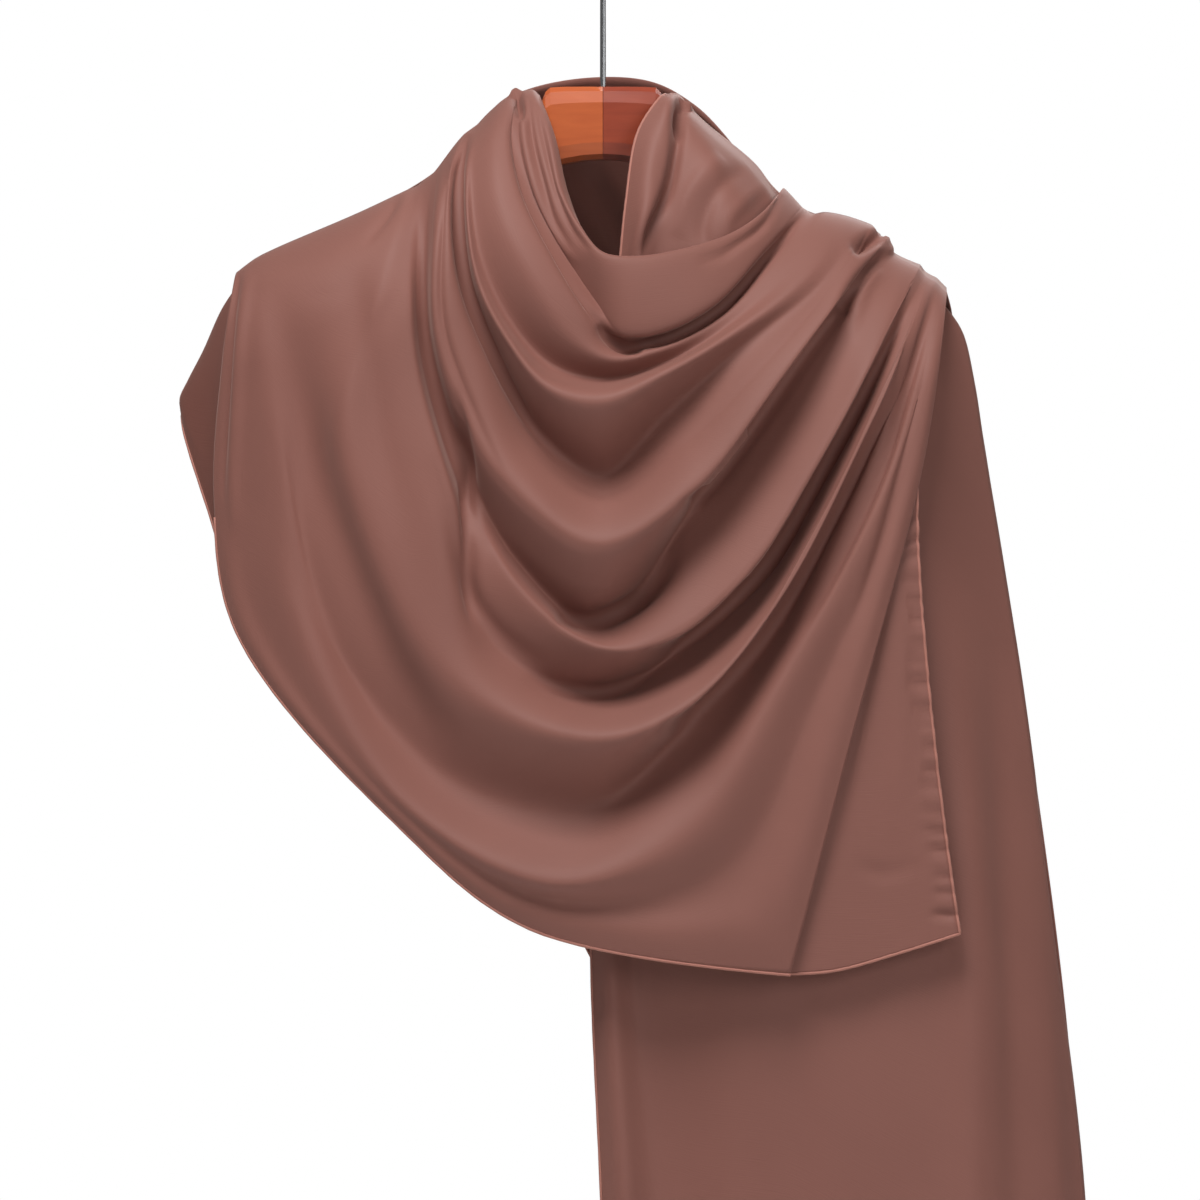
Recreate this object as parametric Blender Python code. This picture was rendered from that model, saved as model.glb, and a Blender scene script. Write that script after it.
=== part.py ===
# A satin stole draped round a wooden hanger: one long sheet of cloth, worn shawl-wise.
# The front is -Y, the wearer's width runs along X, and the origin is the hook's inside top,
# where the hanger is held.  Every size below is in millimetres and is turned to metres once.
import bpy
import numpy as np

MM = 0.001

# ---- driving sizes ---------------------------------------------------------------------
WALL = 1.2              # thickness of the cloth wall
SEAM = 0.3              # gap left between two solids that meet
HOOK_DROP = 115.0       # from the hook's inside top down to the top of the wooden block
HOOK_RADIUS = 24.0      # centre line of the hook's bend
WIRE_RADIUS = 1.8       # half the hook wire's thickness
BLOCK_DEPTH = 26.0      # front to back of the wood at the middle
CHEST_FORWARD = 62.0    # how far the cloth stands in front of the hanger at the sides
CHEST_SWELL = 20.0      # further forward at the middle of the chest
CHEST_WIDTH = 120.0     # half width of that swell
SIDE_ROUND = 30.0       # how much nearer the hanger the cloth is at the arms


def clear_scene():
    for item in list(bpy.data.objects):
        bpy.data.objects.remove(item, do_unlink=True)


def material(name, colour, roughness, metallic=0.0):
    made = bpy.data.materials.new(name)
    made.use_nodes = True
    shader = made.node_tree.nodes["Principled BSDF"]
    shader.inputs["Base Color"].default_value = (*colour, 1.0)
    shader.inputs["Roughness"].default_value = roughness
    shader.inputs["Metallic"].default_value = metallic
    return made


# ---- curves and sheets -----------------------------------------------------------------
def curve_steps(rows):
    """Knots by the square root of the distance between rows, so close folds stay tight."""
    gaps = np.linalg.norm(np.diff(rows[..., :3], axis=0), axis=-1)
    gaps = np.sqrt(np.maximum(gaps, 0.5))
    return np.concatenate([np.zeros((1,) + gaps.shape[1:]), np.cumsum(gaps, axis=0)])


def smooth_through(rows, steps, crisp=None):
    """A smooth run through the rows; `steps` samples follow each row but the last."""
    knots = curve_steps(rows)
    slopes = np.zeros_like(rows)
    span = np.diff(knots, axis=0)[..., None]
    rise = np.diff(rows, axis=0) / span
    slopes[0], slopes[-1] = rise[0], rise[-1]
    slopes[1:-1] = (rise[:-1] * span[1:] + rise[1:] * span[:-1]) / (span[1:] + span[:-1])
    if crisp is not None:
        slopes *= (1.0 - crisp)[..., None]
    found = []
    for i, count in enumerate(steps):
        for j in range(count):
            f = j / count
            found.append((2 * f ** 3 - 3 * f ** 2 + 1) * rows[i]
                         + (f ** 3 - 2 * f ** 2 + f) * span[i] * slopes[i]
                         + (-2 * f ** 3 + 3 * f ** 2) * rows[i + 1]
                         + (f ** 3 - f ** 2) * span[i] * slopes[i + 1])
    found.append(rows[-1])
    return np.array(found)


def swell(f):
    return 4.0 * f * (1.0 - f)


def cloth(name, points, colour):
    """Give a grid of mid-surface points a wall and a closed rim, and keep it as an object."""
    down = np.gradient(points, axis=0)
    along = np.gradient(points, axis=1)
    out = np.cross(down, along)
    out /= np.maximum(np.linalg.norm(out, axis=-1, keepdims=True), 1e-9)
    n, m = points.shape[:2]
    layers = [points + out * WALL / 2, points - out * WALL / 2]
    corners = np.concatenate([layer.reshape(-1, 3) for layer in layers]) * MM
    corners[:, 2] -= HOOK_DROP * MM
    at = lambda k, i, j: k * n * m + i * m + j
    faces = []
    for i in range(n - 1):
        for j in range(m - 1):
            faces.append((at(0, i, j), at(0, i + 1, j), at(0, i + 1, j + 1), at(0, i, j + 1)))
            faces.append((at(1, i, j), at(1, i, j + 1), at(1, i + 1, j + 1), at(1, i + 1, j)))
    rim = [(0, j) for j in range(m)] + [(i, m - 1) for i in range(1, n)]
    rim += [(n - 1, j) for j in range(m - 2, -1, -1)] + [(i, 0) for i in range(n - 2, 0, -1)]
    for a, b in zip(rim, rim[1:] + rim[:1]):
        faces.append((at(0, *a), at(0, *b), at(1, *b), at(1, *a)))
    return keep(name, corners, faces, colour)


def keep(name, corners, faces, colour, smooth=True):
    mesh = bpy.data.meshes.new(name)
    mesh.from_pydata([tuple(c) for c in corners], [], faces)
    mesh.validate()
    mesh.update()
    made = bpy.data.objects.new(name, mesh)
    bpy.context.scene.collection.objects.link(made)
    mesh.materials.append(colour)
    if smooth:
        mesh.shade_smooth()
        mesh.set_sharp_from_angle(angle=0.9)
    return made


def chest(x):
    """How far the cloth stands in front of the hanger's plane at this place across."""
    side = np.clip((np.abs(x) - 150.0) / 80.0, 0.0, 1.0)
    return (CHEST_FORWARD + CHEST_SWELL * np.exp(-(x / CHEST_WIDTH) ** 2)
            - SIDE_ROUND * side ** 2)


def over_shoulder(drop, reach):
    """A quarter ellipse: flat on top of the shoulder, upright once `reach` below it."""
    f = 1.0 - np.clip(drop / reach, 0.0, 1.0)
    return np.sqrt(1.0 - f ** 2)


clear_scene()
SATIN = material("satin", (0.162, 0.082, 0.068), 0.42)
WOOD_LEFT = material("varnished_wood_left", (0.42, 0.10, 0.03), 0.3)
WOOD_RIGHT = material("varnished_wood_right", (0.26, 0.05, 0.015), 0.3)
STEEL = material("polished_steel", (0.55, 0.55, 0.56), 0.2, 1.0)

# ---- the swag across the chest -----------------------------------------------------------
# One row for each fold line, from the neck's edge down to the hem.  start: how far behind
# the shoulder's ridge it begins; reach: drop over which it comes forward; swell: how much
# the cloth bellies out before the next line; steps: samples before the next line; crisp:
# how sharp the fold's edge is, 0 for a soft roll and 1 for a crease.
# Then ten places along the fold, from the left shoulder through the lowest point to the
# right shoulder, each (across, up, out), up being measured from the block's top and out
# being measured forward from the chest's own depth.
SWAG = (
    # name, start, reach, swell, steps, (crisp at the left, middle and right), left_top,
    #       left_high, left_mid, left_low, left_breast, lowest, right_breast, right_low,
    #       right_high, right_top
    ("neck_inside", 14, 120, 0, 2, (0, 0, 0), (-39.2, -4, 0), (-29, -33, -6), (-21, -68, -6),
     (-11, -93, -4), (2, -110, -2), (22, -113, -2), (50, -107, -1), (77, -94.5, 2),
     (98, -78.5, 3), (108.4, -63.8, 0.8)),
    ("neck_edge", 14, 120, 3, 4, (0.3, 0.3, 0.6), (-43, -1, 0), (-33, -29, 0), (-26, -65, 3),
     (-14, -89, 8), (0, -105, 14), (22, -107, 15), (52, -101, 13), (79, -91, 9), (100, -75, 5),
     (110, -61.5, 0)),
    ("collar_lip", 14, 120, 0, 2, (0, 0.6, 0.8), (-49, -2, 0), (-50, -33, -4), (-42, -67, -5),
     (-23, -105, -3), (-4, -134, 0), (13, -155, 6), (41, -150, 9), (71, -132, 9), (100, -98, 7),
     (121, -73, 0)),
    ("throat_edge", 14, 120, 0, 2, (0.8, 0.6, 0.3), (-54, -3, 0), (-55, -33, 4), (-47, -68, 8),
     (-28, -107, 9), (-9, -139, 8), (9, -160, -3), (37, -155, -5), (69, -137, -5),
     (101, -102, -3), (124, -75, 0)),
    ("throat_rim", 14, 115, 0, 2, (0, 0, 0), (-62, -8, 0), (-66, -40, 9), (-60, -81, 14),
     (-41, -121, 15), (-20, -154, 12), (4, -168, 9), (33, -163, 6), (70, -144, 3),
     (105, -109, 2), (128, -77, 0)),
    ("throat_dip", 13, 110, 0, 2, (0, 0.3, 0), (-71, -17, 0), (-78, -49, 5), (-74, -102, 5),
     (-57, -143, 3), (-32, -171, 0), (1, -180, -1), (33, -172, 0), (72, -150, 3),
     (111, -115, 4), (135, -76, 0)),
    ("throat_roll", 12, 105, 0, 3, (0.5, 0, 0), (-76, -22, 0), (-82, -52, 7), (-76, -118, 11),
     (-57, -157, 18), (-32, -186, 25), (-1, -193, 26), (37, -177, 23), (76, -154, 14),
     (121, -119, 8), (147, -78, 0)),
    ("breast_dip", 11, 100, 0, 2, (0.8, 0.3, 0), (-80, -25, 0), (-86, -54, -3), (-81, -120, -6),
     (-63, -164, -7), (-41, -206, -10), (-1, -237, -12), (39, -200, -3), (81, -163, 5),
     (129, -124, 5), (158, -81.5, 0)),
    ("strap_edge", 10, 95, 4, 4, (0.3, 0, 0.3), (-85, -29, 0), (-91, -57, 3), (-87, -119, 4),
     (-69, -173, 4), (-44, -218, -2), (-1, -250, -1), (50, -218, 13), (91, -178, 18),
     (134, -128, 9), (164, -84, 0)),
    ("strap_lip", 8, 90, 0, 3, (0.6, 0.2, 0.9), (-99, -47, 0), (-103, -90, 6), (-102, -150, 9),
     (-80, -214, 12), (-48, -254, 22), (-2, -281, 29), (57, -245, 31), (100, -190, 27),
     (143, -131, 15), (174, -91, 0)),
    ("tube_edge", 7, 85, 0, 3, (0.2, 0.2, 0.3), (-103, -52, 0), (-107, -94, -1),
     (-105, -156, -4), (-82, -229, -7), (-51, -289, -9), (-2, -328, -13), (55, -254, -8),
     (99, -198, -8), (143, -138, -4), (178, -101, 0)),
    ("tube_lip", 7, 85, 0, 3, (0.3, 0.3, 0.9), (-108, -56, 0), (-111, -98, 0), (-108, -164, -2),
     (-84, -244, -6), (-50, -305, 9), (-2, -340, 16), (46, -333, 23), (96, -284, 25),
     (154, -185, 15), (193, -108, 0)),
    ("panel_edge", 6, 80, 0, 3, (0.2, 0.4, 0.0), (-113, -60, 0), (-116, -104, 3),
     (-112, -172, 7), (-90, -248, 12), (-68, -334, 0), (-3, -367, -12), (47, -341, -12),
     (98, -294, -11), (155, -192, -5), (196, -112, 0)),
    ("fourth_lip", 6, 78, 0, 4, (0.2, 0.2, 0.5), (-118, -62, 0), (-132, -120, 7),
     (-152, -215, 12), (-118, -315, 17), (-68, -374, 22), (-2, -394, 26), (48, -377, 28),
     (98, -323, 25), (162, -202, 13), (199, -114, 0)),
    ("belly_dip", 5, 72, 0, 3, (0, 0, 0.3), (-150, -77, 0), (-172, -150, 0), (-178, -270, 0),
     (-142, -362, -2), (-88, -420, -5), (-8, -436, -9), (47, -392, -12), (99, -337, -11),
     (167, -210, -4), (203, -116, 0)),
    ("outer_roll", 5, 68, 0, 3, (0, 0, 0), (-199, -98, 0), (-203, -150, 3), (-193, -240, 5),
     (-186, -314, 8), (-118, -433, 15), (-24, -480, 24), (52, -448, 21), (104, -366, 17),
     (178, -224, 9), (206, -119, 0)),
    ("outer_dip", 5, 66, 0, 2, (0, 0, 0.5), (-211, -104, 0), (-215, -156, 2), (-219, -244, 2),
     (-207, -324, 3), (-121, -438, 12), (-35, -490, 11), (74, -474, 9), (127, -372, 10),
     (184, -229, 9), (207, -120, 0)),
    ("end_roll", 5, 65, 0, 2, (0, 0, 0), (-218, -109, 0), (-223, -159, 1), (-229, -249, 1),
     (-215, -329, 4), (-123, -441, 11), (-40, -499, 12), (97, -502, 13), (141, -380, 13),
     (188, -232, 9), (208, -121, 0)),
    ("hem_line", 5, 64, 0, 0, (0, 0, 0), (-223, -113, 0), (-230, -168, -3), (-235, -252, -4),
     (-221, -331, 1), (-125, -444.5, 7), (-44, -508, 8), (112, -536, 9), (150, -390, 10),
     (191, -235, 7), (209, -122, 0)),
)
PLACE_STEPS = (7, 5, 4, 4, 4, 4, 4, 4, 6)      # samples between the ten places


def swag_points(place_steps, finer=1):
    """The swag's mid surface as rows of points, in millimetres."""
    lines = []
    for row in SWAG:
        start, reach = row[1], row[2]
        places = np.array(row[6:], float)
        flat = np.column_stack([places[:, 0], places[:, 1], places[:, 2] * 0.0,
                                places[:, 2]])
        crisp = np.zeros(len(flat))
        if row[0] == "hem_line":
            crisp[6] = 1.0
        if row[0] == "end_roll":
            crisp[6] = 0.5
        run = smooth_through(flat, place_steps, crisp)
        x, z, out = run[:, 0], run[:, 1], run[:, 3]
        t = np.linspace(0.0, 1.0, len(run))
        w = t * t * (3.0 - 2.0 * t)
        top = z[0] * (1.0 - w) + z[-1] * w
        behind = start * (1.0 - w) + 6.0 * w
        forward = over_shoulder(top - z, reach)
        y = behind - (chest(x) + behind + out) * forward
        lines.append(np.column_stack([x, y, z]))
    lines = np.array(lines)
    steps = [row[4] * finer for row in SWAG[:-1]]
    share = np.linspace(0.0, 2.0, lines.shape[1])
    crisp = np.array([np.interp(share, (0.0, 1.0, 2.0), row[5]) for row in SWAG])
    points = smooth_through(lines, steps, crisp)
    # the bellied stretches between two lines
    at = 0
    for i, count in enumerate(steps):
        gap = np.linalg.norm(lines[i + 1] - lines[i], axis=-1)
        for j in range(1, count):
            f = j / count
            points[at + j, :, 1] -= SWAG[i][3] * swell(f) * np.clip(gap / 50.0, 0.0, 1.0)
        at += count
    return points


cloth("stole_front_swag", swag_points(PLACE_STEPS), SATIN)

# ---- the tail, from the right shoulder down past the waist -------------------------------
# One row for each level down the tail; steps: samples before the next level.  Eight places
# across, from the long inner edge to the outer side, each (across, up, depth).
TAIL = (
    # name, steps, inner_edge, inner_roll, inner_fold, panel, middle, under_fold, outer, side
    ("over_shoulder", 2, (41.7, -3, 12), (46, -4, 10), (50, -9, 8), (62, -21, 6), (92, -46, 5),
     (105, -62, 5), (152, -98.5, 5), (204, -129, 1)),
    ("beside_block", 2, (33.6, -9, -17.8), (41, -10, -21), (47, -15, -15), (66, -33, -19),
     (98, -63, -16), (118, -91, -14), (166, -110, -15), (211, -137, 1)),
    ("neck_side", 2, (21, -30, -30), (32, -34, -40), (43, -34, -32), (71, -58, -40),
     (104, -89, -27), (125, -115, -23), (172, -133, -25), (219, -150, 1)),
    ("collar_side", 2, (14, -72, -45), (25, -76, -56), (35, -78, -47), (71, -100, -52),
     (110, -130, -42), (132, -153, -34), (177, -165, -33), (226, -180, 1)),
    ("under_collar", 2, (10, -112, -52), (21, -115, -60), (31, -117, -53), (71, -145, -54),
     (115, -180, -47), (139, -194, -43), (183, -210, -36), (232, -219, 1)),
    ("chest", 2, (3, -192, -54), (13, -194, -60), (25, -196, -54), (75, -235, -54),
     (124, -266, -47), (148, -276, -43), (192, -290, -37), (243, -285, 1)),
    ("waist", 2, (-5, -342, -52), (6, -343, -60), (22, -345, -52), (83, -378, -55),
     (139, -390, -49), (163, -392, -46), (208, -390, -38), (257, -375, 1)),
    ("below_swag", 2, (-7, -523, -50), (4, -525, -60), (20, -531, -50), (95, -543, -56),
     (152, -538, -51), (184, -534, -48), (236, -528, -38), (275, -516, 1)),
    ("knee", 2, (-1, -672, -50), (13, -672, -61), (33, -672, -49), (112, -672, -58),
     (170, -672, -54), (204, -672, -50), (247, -672, -36), (293, -672, 1)),
    ("end_hem", 0, (5, -882, -50), (21, -882, -62), (41, -882, -48), (122, -882, -60),
     (178, -882, -55), (214, -882, -52), (257, -882, -36), (301, -882, 1)),
)
TAIL_ACROSS = (2, 2, 4, 4, 2, 4, 4)


def table_points(table, across_steps, finer=1):
    """A sheet whose table rows hold (across, up, depth) straight away."""
    lines = []
    for row in table:
        places = np.array(row[2:], float)
        lines.append(smooth_through(places[:, (0, 2, 1)], across_steps))
    return smooth_through(np.array(lines), [row[1] * finer for row in table[:-1]])


cloth("stole_tail", table_points(TAIL, TAIL_ACROSS), SATIN)

# ---- the back, from the left arm round behind the neck to the tail's outer side -----------
# One row for each level; ten places across: the fold at the left front, the left arm's
# side, four across the left of the back, the neck, and three to the tail's outer side.
BACK = (
    # name, steps, left_front, left_arm, left_blade, left_neck, nape_left, nape_right,
    #       right_neck, right_blade, right_arm, tail_side
    ("shoulder_line", 2, (-219, -119, -7), (-219, -116.5, 5.5), (-165, -85.5, 7), (-104, -52.5, 9.8),
     (-40, -2, 20), (34, 2, 21), (64, -24, 8), (120, -81, 7), (170, -104, 7), (207.5, -133, 2.4)),
    ("upper_back", 2, (-225, -138, -15), (-231, -134, 4), (-178, -110, 34), (-112, -88, 40),
     (-52, -40, 46), (30, -36, 48), (70, -58, 44), (126, -98, 40), (176, -130, 34),
     (219, -152, 3)),
    ("blades", 2, (-229, -166, -23), (-243, -160, 7), (-192, -146, 48), (-122, -132, 60),
     (-58, -112, 66), (26, -112, 66), (76, -122, 64), (134, -142, 60), (186, -165, 46),
     (226, -184, 3)),
    ("arm_level", 3, (-232, -200, -26), (-252, -177, 8), (-200, -180, 52), (-128, -190, 66),
     (-62, -200, 72), (24, -205, 70), (84, -215, 69), (146, -230, 62), (200, -240, 48),
     (238, -256, 3)),
    ("low_back", 3, (-233, -240, -27.3), (-257, -188, 9), (-206, -214, 52), (-136, -262, 66),
     (-66, -330, 72), (22, -380, 70), (96, -410, 69), (162, -420, 62), (220, -420, 48),
     (260, -400, 3)),
    ("skirt", 3, (-233, -262, -27.3), (-256, -192, 9), (-205, -226, 50), (-132, -300, 64),
     (-50, -410, 70), (40, -520, 68), (118, -590, 66), (182, -610, 60), (240, -610, 46),
     (284, -590, 3)),
    ("end_hem", 0, (-233, -276, -27), (-255, -196, 8), (-203, -238, 48), (-124, -330, 62),
     (-30, -490, 68), (70, -690, 66), (140, -880, 64), (204, -884, 58), (256, -884, 44),
     (301, -884, 3)),
)
BACK_ACROSS = (3, 4, 4, 4, 4, 3, 4, 4, 4)


def back_points(across_steps, finer=1):
    points = table_points(BACK, across_steps, finer)
    n, m = points.shape[:2]
    v = np.linspace(0.0, 1.0, n)[:, None]
    u = np.linspace(0.0, 1.0, m)[None, :]
    inside = np.clip((u - 0.16) / 0.12, 0.0, 1.0) * np.clip((0.97 - u) / 0.12, 0.0, 1.0)
    fold = np.sin(2 * np.pi * (4.0 * u + 1.3 * v)) + 0.5 * np.sin(2 * np.pi * (7.0 * u - v))
    points[..., 1] += 8.0 * inside * fold * (v * (1.3 - v)) ** 0.5
    return points


cloth("stole_back", back_points(BACK_ACROSS), SATIN)

# ---- the swag's end: its corner in front, and its short fall behind the shoulder -----------
# (across, up, depth) at four places, from behind the last pleat out to the side hem.
CORNER = (
    # name, steps, tucked, under_pleat, panel, side_hem
    ("pleat_top", 3, (176, -238, -64), (181, -237, -63.9), (185, -236, -63.8), (188, -235, -62)),
    ("upper", 3, (166, -300, -67), (173, -300, -66), (182, -299, -64), (190, -298, -63)),
    ("middle", 3, (146, -400, -70), (163, -400, -67), (181, -399, -64), (199, -398, -62)),
    ("lower", 3, (120, -490, -72), (146, -486, -69), (175, -482, -65), (209, -478, -63)),
    ("hem", 0, (104, -536, -73), (138, -534, -70), (176, -524, -65), (214, -512, -63)),
)
cloth("stole_end_corner", table_points(CORNER, (3, 3, 3)), SATIN)

FALL = (
    # name, steps, neck_side, second, third, fourth, arm_side
    ("ridge", 3, (116, -69.5, 7.1), (140, -78.5, 7.1), (165, -86.5, 7.2), (190, -108, 7.4),
     (209, -123, 7.6)),
    ("shoulder_back", 3, (108, -90, 51), (136, -100, 56), (162, -110, 54), (190, -124, 46),
     (214, -140, 32)),
    ("blade", 3, (104, -170, 80), (130, -176, 82), (160, -184, 78), (190, -192, 68),
     (218, -200, 54)),
    ("low", 3, (98, -300, 86), (126, -310, 87), (158, -310, 83), (192, -300, 74),
     (224, -290, 60)),
    ("end_hem", 0, (92, -452, 88), (122, -430, 88), (158, -400, 84), (196, -370, 75),
     (230, -345, 62)),
)


def fall_points(across_steps, finer=1):
    points = table_points(FALL, across_steps, finer)
    n, m = points.shape[:2]
    v = np.linspace(0.0, 1.0, n)[:, None]
    u = np.linspace(0.0, 1.0, m)[None, :]
    points[..., 1] += 5.0 * np.sin(2 * np.pi * 3.5 * u) * np.clip(v * 3.0, 0.0, 1.0)
    return points


cloth("stole_end_behind", fall_points((5, 5, 5, 5)), SATIN)

# ---- the hanger: two halves glued at the middle, and a wire hook ---------------------------
# Stations along one arm, from the middle joint to the tip.
ARM = (
    # across, top, bottom, half_depth
    (0.15, 0, -44.5, 13.0), (12, 0, -45.2, 13.0), (24, 0, -47.5, 13.0), (32, -0.5, -50, 13.0),
    (35, -3.2, -51, 12.8), (38, -11, -52, 12.5), (45, -21, -54, 12.0), (60, -37, -63, 11.5),
    (94, -65, -89, 10.0), (113, -83.3, -105, 9.5), (125, -90.2, -112, 9.0),
    (160, -107.3, -128, 9.0),
    (185, -125, -144, 8.5), (197, -137, -151, 7.5),
)
ARM_SIDES = 12          # corners round one section


def arm(name, side, colour):
    corners, faces = [], []
    for across, top, bottom, half_depth in ARM:
        middle, half = (top + bottom) / 2, (top - bottom) / 2
        for k in range(ARM_SIDES):
            turn = 2 * np.pi * (k + 0.5) / ARM_SIDES
            c, s = np.cos(turn), np.sin(turn)
            # a rounded oblong: a circle pushed out towards its square
            y = np.sign(c) * abs(c) ** 0.45 * half_depth
            z = np.sign(s) * abs(s) ** 0.45 * half + middle
            corners.append((side * across * MM, y * MM, (z - HOOK_DROP) * MM))
    n = len(ARM)
    for i in range(n - 1):
        for k in range(ARM_SIDES):
            a, b = i * ARM_SIDES + k, i * ARM_SIDES + (k + 1) % ARM_SIDES
            quad = (a, b, b + ARM_SIDES, a + ARM_SIDES)
            faces.append(quad if side > 0 else quad[::-1])
    start = tuple(range(ARM_SIDES))
    end = tuple(range((n - 1) * ARM_SIDES, n * ARM_SIDES))
    faces.append(start[::-1] if side > 0 else start)
    faces.append(end if side > 0 else end[::-1])
    made = keep(name, corners, faces, colour)
    hole = bore(name + "_bore")
    cut = made.modifiers.new("stem_hole", 'BOOLEAN')
    cut.operation = 'DIFFERENCE'
    cut.object = hole
    return made


def bore(name):
    """The hole the hook's stem stands in, cut into both halves."""
    bpy.ops.mesh.primitive_cylinder_add(
        vertices=16, radius=(WIRE_RADIUS + SEAM) * MM, depth=50 * MM,
        location=(0, 0, (-HOOK_DROP + 25 - STEM_SUNK - SEAM) * MM))
    cutter = bpy.context.object
    cutter.name = name
    cutter.hide_render = True
    cutter.display_type = 'WIRE'
    return cutter


STEM_SUNK = 20.0        # how deep the stem stands in the block
arm("hanger_left_half", -1, WOOD_LEFT)
arm("hanger_right_half", 1, WOOD_RIGHT)

# The hook's wire: a straight stem, then a bend that opens to the left, its inside top at
# the origin.
line = [(0.0, -HOOK_DROP - STEM_SUNK), (0.0, -HOOK_DROP - 2.0), (0.0, -HOOK_DROP + 12.0)]
centre_z = -HOOK_RADIUS + WIRE_RADIUS
line.append((0.0, centre_z - 34.0))
for k in range(19):
    turn = np.radians(-42.0 + 242.0 * k / 18)
    line.append((HOOK_RADIUS * np.cos(turn), centre_z + HOOK_RADIUS * np.sin(turn)))
WIRE_SIDES = 8
line = np.array(line)
heading = np.gradient(line, axis=0)
heading /= np.linalg.norm(heading, axis=1, keepdims=True)
corners, faces = [], []
for (x, z), (hx, hz) in zip(line, heading):
    for k in range(WIRE_SIDES):
        turn = 2 * np.pi * k / WIRE_SIDES
        c, s = WIRE_RADIUS * np.cos(turn), WIRE_RADIUS * np.sin(turn)
        corners.append(((x + hz * c) * MM, s * MM, (z - hx * c) * MM))
for i in range(len(line) - 1):
    for k in range(WIRE_SIDES):
        a, b = i * WIRE_SIDES + k, i * WIRE_SIDES + (k + 1) % WIRE_SIDES
        faces.append((a, b, b + WIRE_SIDES, a + WIRE_SIDES))
faces.append(tuple(range(WIRE_SIDES))[::-1])
faces.append(tuple(range((len(line) - 1) * WIRE_SIDES, len(line) * WIRE_SIDES)))
keep("hanger_hook", corners, faces, STEEL)
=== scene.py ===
import bpy
import math
import numpy as np
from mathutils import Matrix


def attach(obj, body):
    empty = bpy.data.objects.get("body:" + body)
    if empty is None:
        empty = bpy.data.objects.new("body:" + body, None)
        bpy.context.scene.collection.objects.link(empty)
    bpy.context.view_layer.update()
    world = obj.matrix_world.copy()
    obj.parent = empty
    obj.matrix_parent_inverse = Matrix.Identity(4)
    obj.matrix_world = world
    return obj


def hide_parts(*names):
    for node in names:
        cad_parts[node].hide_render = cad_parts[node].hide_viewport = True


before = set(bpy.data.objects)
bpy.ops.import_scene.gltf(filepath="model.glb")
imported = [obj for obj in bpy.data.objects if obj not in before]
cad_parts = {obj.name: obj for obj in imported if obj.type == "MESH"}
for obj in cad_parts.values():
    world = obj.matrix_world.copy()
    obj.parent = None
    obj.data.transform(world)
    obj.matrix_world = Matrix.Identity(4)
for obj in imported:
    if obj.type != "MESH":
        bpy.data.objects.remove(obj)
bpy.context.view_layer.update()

# Lengths in the tables below are millimetres; heights are measured from the top of the
# hanger's wooden block, which is HOOK_DROP under the hook's inside top, the origin.
MM = 0.001
HOOK_DROP = 115.0

# ---- the way the cloth is shaped ---------------------------------------------------------
# The stole is one thin sheet of polyester satin.  Each stretch that shows is a surface
# through its fold lines, with small listed creases pressed in, and a thin shell.
CHEST_FORWARD, CHEST_SWELL, CHEST_WIDTH, SIDE_ROUND = 62.0, 20.0, 120.0, 30.0
SIDE_FROM, SIDE_OVER = 150.0, 80.0      # where the chest starts to round back, and over how far
CLOSEST_ROWS = 0.5      # rows nearer than this count as this far apart
SHELL = 0.7             # the cloth and its nap as drawn
CREASE_STEPS = 10       # samples between two points of a crease
CREASE_FADE = 0.7       # below 1, a crease keeps its depth nearer to its ends
HEM_RADIUS, HEM_SIDES = 1.0, 8
STITCH_EVERY, STITCH_NIP = 3, 0.10      # every third ring of a hem is a tenth narrower
TINY = 1e-9             # keeps a division by a length from failing


def curve_steps(rows):
    """Knots by the square root of the distance between rows, so close folds stay tight."""
    gaps = np.linalg.norm(np.diff(rows[..., :3], axis=0), axis=-1)
    gaps = np.sqrt(np.maximum(gaps, CLOSEST_ROWS))
    return np.concatenate([np.zeros((1,) + gaps.shape[1:]), np.cumsum(gaps, axis=0)])


def smooth_through(rows, steps, crisp=None):
    """A smooth run through the rows; `steps` samples follow each row but the last."""
    knots = curve_steps(rows)
    slopes = np.zeros_like(rows)
    span = np.diff(knots, axis=0)[..., None]
    rise = np.diff(rows, axis=0) / span
    slopes[0], slopes[-1] = rise[0], rise[-1]
    slopes[1:-1] = (rise[:-1] * span[1:] + rise[1:] * span[:-1]) / (span[1:] + span[:-1])
    if crisp is not None:
        slopes *= (1.0 - crisp)[..., None]
    found = []
    for i, count in enumerate(steps):
        for j in range(count):
            f = j / count
            found.append((2 * f ** 3 - 3 * f ** 2 + 1) * rows[i]
                         + (f ** 3 - 2 * f ** 2 + f) * span[i] * slopes[i]
                         + (-2 * f ** 3 + 3 * f ** 2) * rows[i + 1]
                         + (f ** 3 - f ** 2) * span[i] * slopes[i + 1])
    found.append(rows[-1])
    return np.array(found)


def swell(f):
    """0 at both ends of a stretch and 1 in its middle."""
    return 4.0 * f * (1.0 - f)


def chest(x):
    """How far the cloth stands in front of the hanger's plane at this place across."""
    side = np.clip((np.abs(x) - SIDE_FROM) / SIDE_OVER, 0.0, 1.0)
    return (CHEST_FORWARD + CHEST_SWELL * np.exp(-(x / CHEST_WIDTH) ** 2)
            - SIDE_ROUND * side ** 2)


def over_shoulder(drop, reach):
    """A quarter ellipse: flat on top of the shoulder, upright once `reach` below it."""
    f = 1.0 - np.clip(drop / reach, 0.0, 1.0)
    return np.sqrt(1.0 - f ** 2)


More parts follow.
